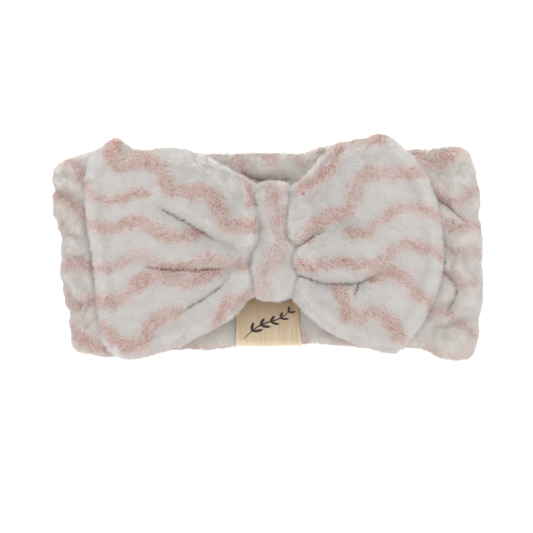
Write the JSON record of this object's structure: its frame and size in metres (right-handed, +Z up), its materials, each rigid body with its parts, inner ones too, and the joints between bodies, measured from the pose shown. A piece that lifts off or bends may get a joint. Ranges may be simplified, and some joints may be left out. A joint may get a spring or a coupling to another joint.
{
  "type": "spa headband",
  "caption": "Wide plush fleece spa headband: an elastic loop lying flat, with a padded two-wing bow pinched by a wrapped knot and a satin label at the back.",
  "frame": {"origin": "centre of the bounding box's bottom face: on the surface that the back of the flattened loop lies on", "axes": "+X runs along the flattened loop, +Y across the band towards the top of the head, +Z up out of the bow"},
  "size_m": [0.22, 0.1118, 0.05],
  "materials": {
    "fleece": "plush pile, matt",
    "elastic": "woven, matt",
    "wadding": "loose fibre, matt",
    "satin": "satin",
    "thread": "twisted thread"
  },
  "bodies": {
    "back_half": {"back_sleeve": "fleece", "left_end_fold": "fleece", "right_end_fold": "fleece", "back_elastic": "elastic", "left_end_elastic": "elastic", "right_end_elastic": "elastic", "satin_label": "satin", "label_stitches_left": "thread", "label_stitches_right": "thread"},
    "front_half": {"front_sleeve": "fleece", "left_front_elastic": "elastic", "right_front_elastic": "elastic", "left_elastic_tack": "thread", "right_elastic_tack": "thread", "knot_wrap": "fleece", "gathering_thread": "thread", "bow_waist": "fleece", "knot_closing_stitches": "thread"},
    "left_wing": {"left_wing_front": "fleece", "left_wing_back": "fleece", "left_wing_wadding": "wadding", "left_wing_seam": "thread"},
    "right_wing": {"right_wing_front": "fleece", "right_wing_back": "fleece", "right_wing_wadding": "wadding", "right_wing_seam": "thread"}
  },
  "joints": [
    {"name": "loop_open", "type": "slide", "parent": "back_half", "child": "front_half", "axis": [0, 0, 1], "range_m": [0, 0.06], "deforming": ["left_end_fold", "right_end_fold", "left_end_elastic", "right_end_elastic"]},
    {"name": "left_wing_lift", "type": "hinge", "parent": "front_half", "child": "left_wing", "pos_m": [-0.0099, 0.002, 0.048], "axis": [0, 1, 0], "range_deg": [0, 60]},
    {"name": "right_wing_lift", "type": "hinge", "parent": "front_half", "child": "right_wing", "pos_m": [0.0179, 0.002, 0.048], "axis": [0, -1, 0], "range_deg": [0, 60]}
  ]
}
